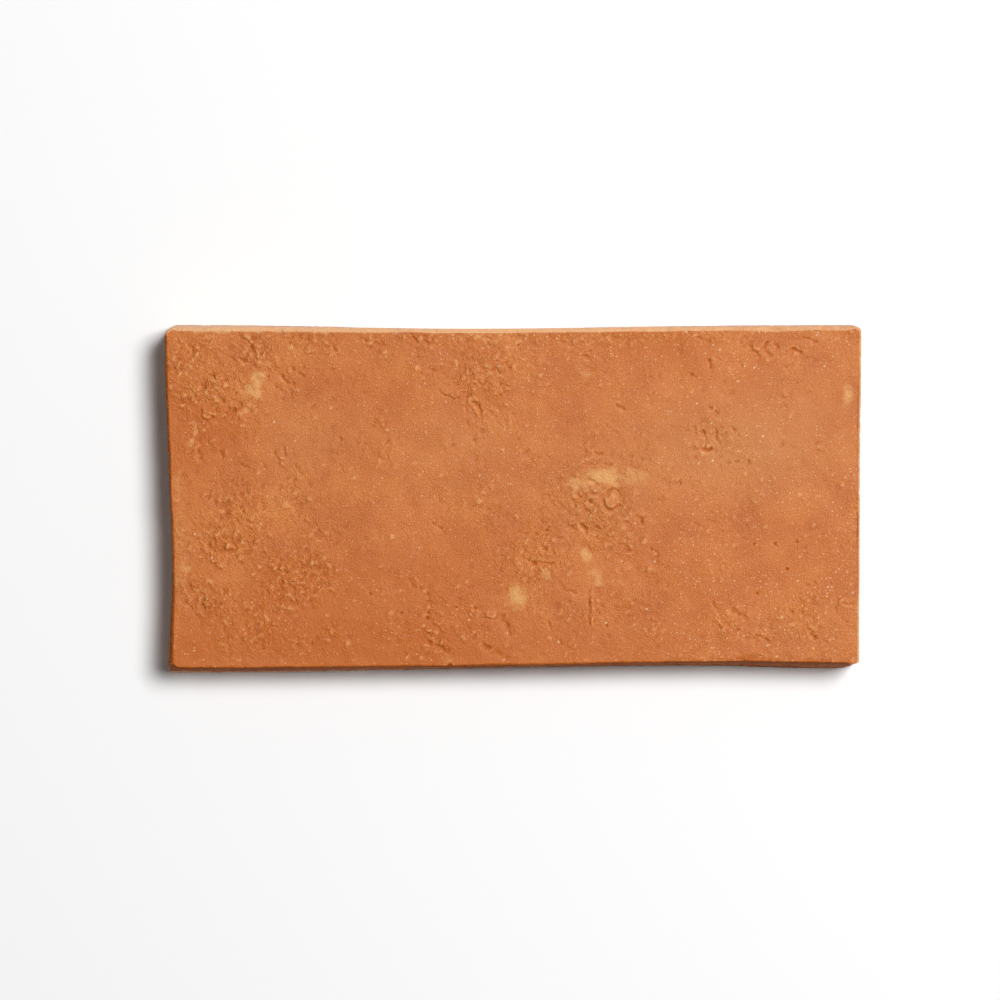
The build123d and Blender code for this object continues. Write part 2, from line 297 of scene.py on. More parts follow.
def pressLine(px, py, width, *line):
    # how near each point is to the line, from 1 on it to 0 away from it
    nearest = np.full(px.shape, np.inf)
    corners = list(zip(line[::2], line[1::2]))
    for (ax, ay), (bx, by) in zip(corners, corners[1:]):
        dx, dy = bx - ax, by - ay
        way = np.clip(((px - ax) * dx + (py - ay) * dy) / (dx * dx + dy * dy), 0.0, 1.0)
        nearest = np.minimum(nearest, np.hypot(px - ax - way * dx, py - ay - way * dy))
    return np.exp(-((nearest / width) ** 2))


def spotAxes(px, py, x, y, halfLength, halfWidth, turn=0.0):
    # where each point lies along and across a turned spot, as shares of its half length and half width
    c, s = math.cos(math.radians(turn)), math.sin(math.radians(turn))
    return ((px - x) * c + (py - y) * s) / halfLength, ((py - y) * c - (px - x) * s) / halfWidth


def pressSpot(px, py, *spot):
    along, across = spotAxes(px, py, *spot)
    return np.exp(-(along * along + across * across))


def liftFlake(px, py, *spot):
    # a flake with a crisp edge that rises towards its turned end
    along, across = spotAxes(px, py, *spot)
    inside = 1.0 - smoothStep(*struckFace["flakeEdge"], np.hypot(along, across))
    return inside * (0.5 + 0.5 * np.clip(along, -1.0, 1.0))


def roughAmount(px, py):
    look = struckFace
    rough = np.zeros(px.shape)
    for *spot, strength in look["roughSpots"]:
        along, across = spotAxes(px, py, *spot)
        fall = (along * along + across * across) ** look["roughEdge"]
        rough = np.maximum(rough, strength * np.exp(-fall))
    wave = look["roughSwing"] * clayNoise(px, py, *look["roughWave"])
    return np.clip(rough + look["roughBase"] + wave, 0.0, 1.0)


def scatterFlakes():
    # small flakes and scoops at random over the rough places
    look = flakeScatter
    dice = np.random.default_rng(look["seed"])
    count = look["count"] * look["tries"]
    x, y = dice.uniform(*look["spanX"], count), dice.uniform(*look["spanY"], count)
    chance = look["chance"] + look["roughChance"] * roughAmount(x, y)
    chosen = np.flatnonzero(dice.random(count) < chance)[: look["count"]]
    flakes = []
    for index in chosen:
        half = dice.uniform(*look["halfLength"])
        scoop = dice.random() < look["scoopShare"]
        turn = dice.normal(look["scoopTurn"] if scoop else look["flakeTurn"], look["turnSpread"])
        rise = dice.uniform(*look["slope"]) * half * (-1 if scoop else 1)
        flakes.append((x[index], y[index], half, half * dice.uniform(*look["widthShare"]), turn, rise))
    return flakes


def detailAmount(points):
    # where the face needs a finer mesh
    look, margin = struckFace, tileMesh["pullMargin"]
    roughPull, linePull, spotPull, holePull = tileMesh["pulls"]
    px, py = toPixels(points)
    detail = roughPull * roughAmount(px, py)
    for width, _, *line in look["slits"] + look["ridges"]:
        detail = np.maximum(detail, linePull * pressLine(px, py, width + margin, *line))
    for x, y, halfLength, halfWidth, turn, _ in look["lumps"] + look["flakes"]:
        spot = (x, y, halfLength + margin, halfWidth + margin, turn)
        detail = np.maximum(detail, spotPull * pressSpot(px, py, *spot))
    for x, y, radius, *_ in look["pinHoles"] + look["grains"]:
        detail = np.maximum(detail, holePull * pressSpot(px, py, x, y, radius + margin, radius + margin))
    return detail


def struckRelief(points):
    # height of the struck face over its smooth form, in mm, at points of the face
    look = struckFace
    px, py = toPixels(points)
    bentX, bentY = bendPixels(px, py, *look["wobble"])
    rough = roughAmount(bentX, bentY)
    for *spot, _ in look["flakes"]:
        rough *= 1.0 - look["flakeCalm"] * pressSpot(px, py, *spot)

    height = np.zeros(px.shape)
    for amount, *wave in look["swells"]:
        height += amount * clayNoise(px, py, *wave)

    # rounded wrinkles parted by sharp creases, then tears and crumbs
    wrinkle = np.abs(clayNoise(bentX, bentY, *look["wrinkleWave"]))
    height += look["wrinkle"] * rough * (wrinkle - look["wrinkleDrop"])
    tear = clayNoise(bentX, bentY, *look["tearWave"])
    tear += look["fineTear"] * clayNoise(bentX, bentY, *look["fineTearWave"])
    torn = smoothStep(*look["tearEdge"], tear - look["tearHold"] * (1.0 - rough))
    height -= look["tear"] * torn * (1.0 - look["roughTear"] + look["roughTear"] * rough)
    crumb = clayNoise(bentX, bentY, *look["crumbWave"])
    height += look["crumb"] * rough * smoothStep(*look["crumbEdge"], crumb)

    # placed marks; lines break up along their way
    middle, swing = look["broken"]
    broken = np.clip(middle + swing * clayNoise(px, py, *look["brokenWave"]), *look["brokenLimits"])
    for width, depth, *line in look["slits"]:
        height -= depth * broken * pressLine(bentX, bentY, width, *line)
    for width, rise, *line in look["ridges"]:
        height += rise * broken * pressLine(bentX, bentY, width, *line)
    for *spot, rise in look["lumps"]:
        height += rise * pressSpot(bentX, bentY, *spot)
    for x, y, radius, depth in look["pinHoles"]:
        height -= depth * pressSpot(px, py, x, y, radius, radius)
    for x, y, halfLength, *shape, rise in [*look["flakes"], *scatterFlakes()]:
        reach = look["flakeReach"] * halfLength + look["flakeMargin"]
        near = (np.abs(bentX - x) < reach) & (np.abs(bentY - y) < reach)
        height[near] += rise * liftFlake(bentX[near], bentY[near], x, y, halfLength, *shape)
    return height - look["sink"]


def limeAmount(points):
    look = limeLook
    px, py = toPixels(points)
    bentX, bentY = bendPixels(px, py, *look["warp"])
    flecks = 1.0 + look["flecks"] * clayNoise(px, py, *look["fleckWave"])
    lime = np.zeros(px.shape)
    for *spot, strength in look["blooms"]:
        bloom = smoothStep(*look["edge"], flecks * pressSpot(bentX, bentY, *spot))
        lime = np.maximum(lime, strength * bloom)
    return lime


def chalkAmount(points):
    px, py = toPixels(points)
    chalk = np.zeros(px.shape)
    for x, y, radius in struckFace["grains"]:
        chalk = np.maximum(chalk, pressSpot(px, py, x, y, radius, radius))
    return smoothStep(*struckFace["grainEdge"], chalk)


def toneAmount(points):
    px, py = toPixels(points)
    tone = np.zeros(px.shape)
    for *spot, amount in toneSpots:
        tone += amount * pressSpot(px, py, *spot)
    return np.clip(tone, -1.0, 1.0)


# The tile's mesh: a grid over the struck face, rings over the arris and down the walls, a plainer grid below
tileMesh = {
    "columns": 372, "rows": 186,        # both divide by the back's stride
    "cornerCells": 20,
    "cornerInset": 4.0 * mm,            # centre of each corner's fan of rays, in from the box
    "pulls": (0.5, 3.2, 2.2, 5.0),      # how much rough places, lines, spots and holes draw the grid in
    "pullMargin": 2.0,                  # in photo pixels
    "coarseDraw": (8, 300), "fineDraw": (3, 80),    # passes, steps
    "probeHeight": 5.0 * mm,
    "faceProbeShares": (0.982, 0.965),  # the face's height is read a little inside the solid's own arris
    "faceSmoothing": 12,
    "wallProbeShares": (0.15, 0.85),
    "wallSmoothing": 13,
    # far, right, near and left side
    "arrisRadii": (1.3 * mm, 0.6 * mm, 0.30 * mm, 0.8 * mm),
    # the far and right arris, which face the lamp, get a paler band: rubbing, and painted highlight
    "arrisRubSheen": (1.0, 1.0, 0.0, 0.0),
    # painted shade on the near and left arris, which face away from the lamp
    "arrisShade": (0.0, 0.0, 1.0, 0.9),
    "undercut": (0.0, 0.0, 0.50, 0.45),  # depth in mm
    # a pale rim at the foot of the near and left walls: dust, and painted light where the foot catches light
    "footDustRimLight": (0.0, 0.0, 1.15, 1.25),
    "arrisAngles": (76, 60, 45, 30, 15, 0),
    "arrisWave": (11, 51.5), "arrisSwing": 0.35,
    "wallShares": (0.05, 0.11, 0.19, 0.29, 0.40, 0.52, 0.64, 0.76, 0.88, 1.0),
    "undercutShare": 0.13, "undercutWidth": 0.10,
    "footEase": 0.35 * mm,
    "footRings": ((0.35, 0.28), (1.2, 0.0)),    # inset and height, as shares of the ease
    # rubbing with painted sheen, and dust with painted rim light: how they change along the length, as
    # places in mm and amounts there
    "rubSheenAlong": ((-60.0, 60.0, 95.0), (1.0, 0.78, 0.66)),
    "bandAlong": ((-60.0, 60.0, 95.0), (1.0, 0.72, 0.60)),
    "bandWidths": ((-60.0, 95.0), (1.5, 0.7)),
    "dustRimLightAlong": ((-70.0, 0.0), (1.0, 0.3)),
    "bandWave": (9, 52.5), "bandSwing": 0.5,
    "rightBand": 0.6, "rightBandWidth": 0.5 * mm,
    "cornerRubSheen": 3.4,                   # reach in mm of the far left corner's rubbing and painted sheen
    "litArrisFrom": 0.3,                  # where the arris's rubbing and painted sheen reach this much, it has the face's paler clay as painted light
    "rubSheenFade": 0.7, "rubSheenFadeShares": (0.2, 0.95),
    "dustRimLightShares": (0.60, 0.90),
    "patchSize": (3.5, 3.5, 3.0),       # dusty and rubbed patches on the walls, in mm
    "patchMiddle": 0.55, "patchSwing": 1.5,
    "rubSheenPatches": 0.15, "dustRimLightPatches": 0.45,
    "wallPit": 0.35, "facePit": 0.15, "facePitBlur": 3, "backPit": 0.3,     # depth in mm of a hollow with its full painted shade
    "wallRough": 0.5,
    "backStride": 3,
    "backRim": 2.5 * mm,
    "backDents": 0.25, "backDentWave": (5.0, 41.5), "backDentEdge": (0.18, 0.45),
    "backDrags": 0.15, "backDragWave": (2.2, 42.5, 9.0, 12.0), "backDragEdge": (0.25, 0.5),
    "mapSpan": 250 * mm, "faceMap": (0.5, 0.71), "backMap": (0.5, 0.21),
}


def rimRays():
    # start and outward direction of every column of the rim, counter-clockwise from the near left corner
    inset = tileMesh["cornerInset"]
    left, near = tileLow.x + inset, tileLow.y + inset
    right, far = tileHigh.x - inset, tileHigh.y - inset
    corners = ((left, near), (right, near), (right, far), (left, far))
    half = tileMesh["cornerCells"] // 2
    starts, angles, sides = [], [], []
    for side in range(4):
        cells = (tileMesh["columns"], tileMesh["rows"])[side % 2]
        first, second = np.array(corners[side]), np.array(corners[(side + 1) % 4])
        for cell in range(cells):
            way = np.clip((cell - half) / (cells - 2 * half), 0.0, 1.0)
            turn = np.clip(cell / half, 0.0, 1.0) + np.clip((cell - cells + half) / half, 0.0, 1.0)
            starts.append(first + (second - first) * way)
            angles.append(math.radians(225 + 90 * side + 45 * turn))
            sides.append(side if half <= cell <= cells - half else -1)
    outward = np.stack([np.cos(angles), np.sin(angles)], axis=1)
    return np.array(starts), outward, np.array(sides)


def bySide(outward, values):
    # blends the far, right, near and left side's value by the direction that the rim faces
    x, y = outward[:, 0], outward[:, 1]
    shares = (np.clip(y, 0, 1), np.clip(x, 0, 1), np.clip(-y, 0, 1), np.clip(-x, 0, 1))
    return sum(value * share ** 2 for value, share in zip(values, shares))


def evenOut(values, window):
    padded = np.pad(values, window // 2, mode="edge")
    return np.convolve(padded, np.ones(window) / window, mode="valid")


def wallReach(tree, starts, outward, sides, height):
    # how far the wall stands from each start point at this height, with the solid's facets evened out
    reach = np.empty(len(starts))
    for index, (start, way) in enumerate(zip(starts, outward)):
        reach[index] = tree.ray_cast(Vector((*start, height)), Vector((*way, 0.0)))[3]
    for side in range(4):
        members = np.flatnonzero(sides == side)
        reach[members] = evenOut(reach[members], tileMesh["wallSmoothing"])
    return reach


def coonsGrid(loop, columns, rows):
    # fills a closed loop of points with a grid
    near = loop[: columns + 1]
    right = loop[columns: columns + rows + 1]
    far = loop[columns + rows: 2 * columns + rows + 1][::-1]
    left = np.concatenate([loop[2 * columns + rows:], loop[:1]])[::-1]
    u = np.linspace(0, 1, columns + 1)[None, :, None]
    v = np.linspace(0, 1, rows + 1)[:, None, None]
    grid = (1 - v) * near[None] + v * far[None] + (1 - u) * left[:, None] + u * right[:, None]
    grid -= (1 - u) * (1 - v) * near[0] + u * (1 - v) * near[-1] + (1 - u) * v * far[0] + u * v * far[-1]
    return grid


def drawTogether(grid, passes, steps):
    # relaxes the grid so that its cells crowd where the face has marks
    for _ in range(passes):
        pull = 1.0 + detailAmount(grid)
        across = (pull[:, 1:] + pull[:, :-1])[..., None]
        along = (pull[1:] + pull[:-1])[..., None]
        left, right = across[1:-1, :-1], across[1:-1, 1:]
        near, far = along[:-1, 1:-1], along[1:, 1:-1]
        total = left + right + near + far
        for _ in range(steps):
            grid[1:-1, 1:-1] = (left * grid[1:-1, :-2] + right * grid[1:-1, 2:]
                                + near * grid[:-2, 1:-1] + far * grid[2:, 1:-1]) / total
    return grid


def spreadGrid(grid, stride):
    # puts evenly spaced points between those of a coarse grid
    for axis in (0, 1):
        count = grid.shape[axis]
        ways = np.arange((count - 1) * stride + 1) / stride
        before = np.minimum(ways.astype(int), count - 2)
        share = (ways - before).reshape((-1, 1, 1) if axis == 0 else (1, -1, 1))
        grid = (1 - share) * grid.take(before, axis) + share * grid.take(before + 1, axis)
    return grid


def blurGrid(values, passes):
    for _ in range(passes):
        padded = np.pad(values, 1, mode="edge")
        values = (padded[:-2] + padded[1:-1] + padded[2:])[:, 1:-1] / 3
        padded = np.pad(values, 1, mode="edge")
        values = (padded[:, :-2] + padded[:, 1:-1] + padded[:, 2:])[1:-1] / 3
    return values


def rimOf(grid):
    # the closed loop of values around a grid, in the order of the rim's rays
    return np.concatenate([grid[0, :-1], grid[:-1, -1], grid[-1, :0:-1], grid[:0:-1, 0]])


# Marks on the walls, in mm. Waves are shift, size along the wall and size up it.
wallMarks = {
    "lines": 0.06, "lineWave": (0, 13, 0.9),
    "pits": 0.28, "pitWave": (50, 1.8, 1.4), "pitEdge": (0.16, 0.40),
    "dents": 0.12, "dentWave": (90, 9, 6),
    "crease": 0.12, "creaseHeight": 9.4, "creaseSway": 1.2, "creaseWidth": 0.5,
    "setBack": 0.02,
}


def wallRelief(points):
    # drag lines, pits and a faint mould crease on the walls, in mm; it only goes inward
    look = wallMarks
    x, y, z = (points / mm).T

    def wave(shift, along, up):
        return noiseAt(x / along + shift, y / along, z / up)

    lines, pits, dents = (wave(*look[name]) for name in ("lineWave", "pitWave", "dentWave"))
    crease = np.exp(-(((z - look["creaseHeight"] - look["creaseSway"] * dents) / look["creaseWidth"]) ** 2))
    lift = look["lines"] * lines + look["dents"] * dents
    lift = lift - look["pits"] * smoothStep(*look["pitEdge"], pits) - look["crease"] * crease
    return np.minimum(lift, 0.0) - look["setBack"]


def buildTile():
    look = tileMesh
    stride = look["backStride"]
    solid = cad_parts["terracotta_tile"].data
    tree = BVHTree.FromPolygons([v.co for v in solid.vertices], [p.vertices for p in solid.polygons])
    starts, outward, sides = rimRays()
    lowZ, highZ = (tileHigh.z * share for share in look["wallProbeShares"])
    lowReach = wallReach(tree, starts, outward, sides, lowZ)
    highReach = wallReach(tree, starts, outward, sides, highZ)

    def reachAt(height):
        return lowReach + (highReach - lowReach) * (height - lowZ) / (highZ - lowZ)

    def placed(reach, height):
        return np.column_stack([starts + outward * reach[:, None], height])

    # struck face: a grid up to the arris, dropped on the solid
    topReach = reachAt(tileHigh.z)
    outer = (starts + outward * topReach[:, None]) / mm
    radius = bySide(outward, look["arrisRadii"])
    radius = radius * (1.0 + look["arrisSwing"] * clayNoise(*outer.T, *look["arrisWave"]))
    faceReach = topReach - radius
    face = coonsGrid(starts + outward * faceReach[:, None], look["columns"], look["rows"])
    drawn = drawTogether(face[::stride, ::stride].copy(), *look["coarseDraw"])
    face[1:-1, 1:-1] = spreadGrid(drawn, stride)[1:-1, 1:-1]
    face = drawTogether(face, *look["fineDraw"])
    above = tileHigh.z + look["probeHeight"]
    probes = (face * look["faceProbeShares"]).reshape(-1, 2)
    drops = [tree.ray_cast(Vector((x, y, above)), Vector((0, 0, -1)))[3] for x, y in probes]
    smoothTop = blurGrid(above - np.array(drops).reshape(face.shape[:2]), look["faceSmoothing"])
    relief = struckRelief(face)
    rimTop = rimOf(smoothTop)
    print("struck face dropped on the solid, relief in mm:", round(relief.min(), 2), round(relief.max(), 2))

    # rings over the arris, down the wall and round the foot: reach, height, rubbing with painted sheen,
    # painted shade in pits, dust with painted rim light
    wearAndSheen = bySide(outward, look["arrisRubSheen"]) * np.interp(outer[:, 0], *look["rubSheenAlong"])
    farLeft = np.hypot(outer[:, 0] - tileLow.x / mm, outer[:, 1] - tileHigh.y / mm)
    wearAndSheen = np.maximum(wearAndSheen, np.exp(-((farLeft / look["cornerRubSheen"]) ** 4)))
    # painted shade along the near and left arris
    shade = bySide(outward, look["arrisShade"])
    undercut = bySide(outward, look["undercut"])
    dust = bySide(outward, look["footDustRimLight"]) * np.interp(outer[:, 0], *look["dustRimLightAlong"])
    clean = np.zeros(len(starts))
    wallTop = rimTop - radius
    footZ = look["footEase"]
    profile = []
    for angle in look["arrisAngles"]:
        c, s = math.cos(math.radians(angle)), math.sin(math.radians(angle))
        reach = faceReach + radius * c + (reachAt(wallTop) - topReach) * (1 - s)
        height = wallTop + radius * s
        ring = placed(reach, height)
        lift = (struckRelief(ring[:, :2]) * s + wallRelief(ring) * (1 - s)) * mm
        profile.append((reach + lift * c, height + lift * s, wearAndSheen, shade * (1 - s), clean))
    for share in look["wallShares"]:
        height = wallTop + (footZ - wallTop) * share
        ring = placed(reachAt(height), height)
        patches = look["patchMiddle"] + look["patchSwing"] * noiseAt(*(ring / mm / look["patchSize"]).T)
        gaps = 1.0 - np.clip(patches, 0.0, 1.0)
        cut = math.exp(-(((share - look["undercutShare"]) / look["undercutWidth"]) ** 2))
        lift = wallRelief(ring) - undercut * cut
        rubbed = wearAndSheen * (1.0 - look["rubSheenFade"] * smoothStep(*look["rubSheenFadeShares"], share))
        rubbed = rubbed * (1.0 - look["rubSheenPatches"] * gaps)
        # painted shade in the wall's pits, crease and undercut
        pitShade = np.clip(-lift / look["wallPit"], 0, 1)
        dustyRimLight = dust * (1.0 - look["dustRimLightPatches"] * gaps) * smoothStep(*look["dustRimLightShares"], share)
        profile.append((reachAt(height) + lift * mm, height, rubbed, pitShade, dustyRimLight))
    for inset, height in look["footRings"]:
        profile.append((reachAt(footZ) - footZ * inset, clean + footZ * height, clean, clean, dust))
    rings = [placed(reach, height) for reach, height, *_ in profile]
    reaches = np.array([faceReach, *(step[0] for step in profile)])
    heights = np.array([rimTop, *(step[1] for step in profile)])
    foldedOut = faceReach + np.cumsum(np.hypot(np.diff(reaches, axis=0), np.diff(heights, axis=0)), axis=0)

    # back: a plainer grid inside a rim of triangles
    backReach = (profile[-1][0] - look["backRim"])[::stride]
    backLoop = starts[::stride] + outward[::stride] * backReach[:, None]
    back = coonsGrid(backLoop, look["columns"] // stride, look["rows"] // stride)
    backX, backY = back[..., 0] / mm, back[..., 1] / mm
    dents = smoothStep(*look["backDentEdge"], clayNoise(backX, backY, *look["backDentWave"]))
    drags = smoothStep(*look["backDragEdge"], clayNoise(backX, backY, *look["backDragWave"]))
    backLift = look["backDents"] * dents + look["backDrags"] * drags
    backLift[[0, -1], :] = 0.0
    backLift[:, [0, -1]] = 0.0

    # what the clay's colour and grain follow: lime, painted shade in hollows and painted highlight on
    # crests, rubbed edges with painted sheen, rough places, tone, grog, and dust with painted rim light
    farRim = outer[sides == 2][::-1] * mm
    rightRim = outer[sides == 1] * mm
    toFar = np.interp(face[..., 0], farRim[:, 0], farRim[:, 1]) - face[..., 1]
    toRight = np.interp(face[..., 1], rightRim[:, 1], rightRim[:, 0]) - face[..., 0]
    ragged = 1.0 + look["bandSwing"] * clayNoise(*toPixels(face), *look["bandWave"])
    bandWidth = np.interp(face[..., 0] / mm, *look["bandWidths"]) * mm * ragged
    # a paler band along the far and right edges: rubbing, and painted highlight where they face the lamp
    faceRubSheen = np.interp(face[..., 0] / mm, *look["bandAlong"]) * np.exp(-((toFar / bandWidth) ** 2))
    faceRubSheen += look["rightBand"] * np.exp(-((toRight / look["rightBandWidth"]) ** 2))
    # painted shade in the face's hollows and painted highlight on its crests, from how far the relief lies
    # below or above its blur
    pitDepth = np.clip((blurGrid(relief, look["facePitBlur"]) - relief) / look["facePit"], -1, 1)
    backPitShade = np.clip(backLift / look["backPit"], 0, 1)
    none = np.zeros(back.shape[:2])
    bare = [clean] * len(rings)

    def overAll(onFace, onRings, onBack=none):
        return np.concatenate([onFace.ravel(), *onRings, onBack.ravel()])

    faceRough = roughAmount(*toPixels(face))
    wallRough = look["wallRough"]
    masks = {
        "lime": overAll(limeAmount(face), (limeAmount(ring[:, :2]) for ring in rings)),
        "hollow": overAll(pitDepth, (step[3] for step in profile), backPitShade),
        "rubbed": overAll(np.clip(faceRubSheen, 0, 1), (step[2] for step in profile)),
        "rough": overAll(faceRough, [clean + wallRough] * len(rings), none + wallRough),
        "tone": overAll(toneAmount(face), bare),
        "chalk": overAll(chalkAmount(face), bare),
        "dust": overAll(np.zeros(face.shape[:2]), (step[4] for step in profile)),
    }
    # the far and right walls, which face the lamp, have the face's paler clay, and the near and left walls
    # the darker moulded clay: painted light and shade
    litArris, litWall = wearAndSheen > look["litArrisFrom"], outward.sum(axis=1) > 0
    arrisRings = len(look["arrisAngles"])
    litRings = [litArris] * arrisRings + [litWall] * (len(rings) - arrisRings)
    faceTop = smoothTop + relief * mm
    foldedRings = [starts + outward * out[:, None] for out in foldedOut]
    faceAndBack = np.dstack([face, faceTop]), np.dstack([back, backLift * mm])
    return joinTile(*faceAndBack, rings, foldedRings, masks, np.concatenate(litRings))


def gridFaces(first, columns, rows):
    row, column = np.meshgrid(np.arange(rows), np.arange(columns), indexing="ij")
    corner = first + row * (columns + 1) + column
    return np.stack([corner, corner + 1, corner + columns + 2, corner + columns + 1], axis=-1).reshape(-1, 4)


def ringFaces(inner, outer):
    return np.stack([inner, outer, np.roll(outer, -1), np.roll(inner, -1)], axis=1)


def joinTile(face, back, rings, foldedRings, masks, litRings):
    look = tileMesh
    columns, rows, stride = look["columns"], look["rows"], look["backStride"]
    faceCount = face.shape[0] * face.shape[1]
    ringCount = len(rings[0])
    points = np.concatenate([face.reshape(-1, 3), *rings, back.reshape(-1, 3)])
    points = np.clip(points, np.array(tileLow), np.array(tileHigh))

    loops = [rimOf(np.arange(faceCount).reshape(face.shape[:2]))]
    loops += [faceCount + ringCount * index + np.arange(ringCount) for index in range(len(rings))]
    backFirst = faceCount + ringCount * len(rings)
    backIndex = backFirst + np.arange(back.shape[0] * back.shape[1]).reshape(back.shape[:2])
    faceQuads = gridFaces(0, columns, rows)
    wallQuads = np.concatenate([ringFaces(inner, outer) for inner, outer in zip(loops, loops[1:])])
    backQuads = gridFaces(backFirst, columns // stride, rows // stride)[:, ::-1]

    # the back's grid is coarser than the rim, so three rim cells meet one back cell
    foot, coarse = loops[-1], rimOf(backIndex)
    joins = []
    for index, corner in enumerate(coarse):
        following = coarse[(index + 1) % len(coarse)]
        a, b, c, d = (foot[(stride * index + step) % ringCount] for step in range(stride + 1))
        joins += [(corner, a, b), (corner, b, c, following), (following, c, d)]

    faces = faceQuads.tolist() + wallQuads.tolist() + joins + backQuads.tolist()
    mesh = bpy.data.meshes.new("terracottaTile")
    mesh.from_pydata(points.tolist(), [], faces)
    struck, mouldedShade, bedding = range(len(finishNames))
    kinds = np.full(len(faces), bedding, np.int32)
    kinds[: len(faceQuads)] = struck
    # walls and arris away from the lamp take the darker moulded clay as painted shade
    kinds[len(faceQuads): len(faceQuads) + len(wallQuads)] = np.where(litRings, struck, mouldedShade)
    mesh.polygons.foreach_set("material_index", kinds)
    mesh.polygons.foreach_set("use_smooth", np.ones(len(faces), bool))
    for name, values in masks.items():
        layer = mesh.attributes.new(name, "FLOAT", "POINT")
        layer.data.foreach_set("value", values.astype(np.float32))

    # one flat map: the face with its walls folded out, and the back below it
    span = 1 / look["mapSpan"]
    folded = np.concatenate([face[..., :2].reshape(-1, 2), *foldedRings, back[..., :2].reshape(-1, 2)])
    folded = folded * span + look["faceMap"]
    laid = points[:, :2] * (-span, span) + look["backMap"]
    corners = np.zeros(len(mesh.loops), np.int32)
    mesh.loops.foreach_get("vertex_index", corners)
    sizes = np.zeros(len(faces), np.int32)
    mesh.polygons.foreach_get("loop_total", sizes)
    onBack = np.repeat(kinds == bedding, sizes)
    flatMap = np.where(onBack[:, None], laid[corners], folded[corners])
    mesh.uv_layers.new(name="OFBake").uv.foreach_set("vector", flatMap.astype(np.float32).ravel())
    mesh.update()
    tile = bpy.data.objects.new("terracottaTile", mesh)
    bpy.context.scene.collection.objects.link(tile)
    triangles = sum(len(face) - 2 for face in faces)
    print("tile mesh:", len(points), "points,", triangles, "triangles, sound:", not mesh.validate())
    return tile


def addNode(tree, kind, values=None, **settings):
    # a node with its settings made and its inputs either linked or given a value
    node = tree.nodes.new(kind)
    for name, value in settings.items():
        setattr(node, name, value)
    for name, value in (values or {}).items():
        if isinstance(value, bpy.types.NodeSocket):
            tree.links.new(value, node.inputs[name])
        else:
            node.inputs[name].default_value = value
    return node


def addMath(tree, operation, first, second=0.0):
    return addNode(tree, "ShaderNodeMath", {0: first, 1: second}, operation=operation).outputs[0]


def addMix(tree, amount, first, second):
    values = {"Factor": amount, 6: first, 7: second}    # 6 and 7 are its two colours
    return addNode(tree, "ShaderNodeMix", values, data_type="RGBA", blend_type="MIX").outputs[2]


def addRange(tree, value, low, high, toLow=0.0, toHigh=1.0):
    values = {"Value": value, "From Min": low, "From Max": high, "To Min": toLow, "To Max": toHigh}
    return addNode(tree, "ShaderNodeMapRange", values).outputs["Result"]


def addNoise(tree, place, scale, detail=2.0, roughness=0.5, made="Fac"):
    values = {"Vector": place, "Scale": scale, "Detail": detail, "Roughness": roughness}
    return addNode(tree, "ShaderNodeTexNoise", values).outputs[made]


def addChance(tree, cells):
    # three random numbers for each cell
    return addNode(tree, "ShaderNodeSeparateColor", {0: cells.outputs["Color"]}).outputs


def addDrawn(tree, place, given):
    # the place drawn out along one direction
    values = {"Vector": place, "Rotation": given["Turn"], "Scale": given["Stretch"]}
    return addNode(tree, "ShaderNodeMapping", values, vector_type="TEXTURE").outputs["Vector"]


def newGroup(name, made, floats=(), vectors=(), colours=()):
    # a shader node group with one output: its tree, its inputs, the place on the tile and the output
    tree = bpy.data.node_groups.new(name, "ShaderNodeTree")
    for kind, labels in (("Float", floats), ("Vector", vectors), ("Color", colours)):
        for label in labels:
            tree.interface.new_socket(name=label, in_out="INPUT", socket_type="NodeSocket" + kind)
    madeKind = "NodeSocketColor" if made == "Color" else "NodeSocketFloat"
    tree.interface.new_socket(name=made, in_out="OUTPUT", socket_type=madeKind)
    given = tree.nodes.new("NodeGroupInput").outputs
    place = tree.nodes.new("ShaderNodeTexCoord").outputs["Object"]
    return tree, given, place, tree.nodes.new("NodeGroupOutput").inputs[made]


# What the groups below share between all finishes
claySkin = {
    "poreEdge": (0.62, 0.74), "scaleSmoothness": 0.12, "scaleFewness": 3.0,
    "raggedReach": 1.5, "raggedEdge": 0.75,
}


def clayTone():
    # clouds of paler and deeper clay, with sandy grain in the colour
    floats = ("Cloud Scale", "Cloud", "Grain Scale", "Grain")
    tree, given, place, end = newGroup("clayTone", "Color", floats, colours=("Clay", "Pale", "Deep"))
    cloud = addNoise(tree, place, given["Cloud Scale"], detail=4.0, roughness=0.6)
    grain = addNoise(tree, place, given["Grain Scale"], roughness=0.65)
    cloudy = addMath(tree, "MULTIPLY", addMath(tree, "SUBTRACT", cloud, 0.5), given["Cloud"])
    grainy = addMath(tree, "MULTIPLY", addMath(tree, "SUBTRACT", grain, 0.5), given["Grain"])
    swing = addMath(tree, "ADD", cloudy, grainy)
    colour = addMix(tree, addRange(tree, swing, 0.0, 1.0), given["Clay"], given["Pale"])
    colour = addMix(tree, addRange(tree, swing, 0.0, -1.0), colour, given["Deep"])
    tree.links.new(colour, end)
    return tree


def sandGrain():
    # sandy tooth and pores of the fired skin, as a height in mm
    floats = ("Grain Scale", "Grain", "Pore Scale", "Pore")
    tree, given, place, end = newGroup("sandGrain", "Height", floats)
    grain = addNoise(tree, place, given["Grain Scale"], detail=3.0, roughness=0.6)
    pore = addRange(tree, addNoise(tree, place, given["Pore Scale"]), *claySkin["poreEdge"])
    raised = addMath(tree, "MULTIPLY", grain, given["Grain"])
    sunk = addMath(tree, "MULTIPLY", pore, given["Pore"])
    tree.links.new(addMath(tree, "SUBTRACT", raised, sunk), end)
    return tree


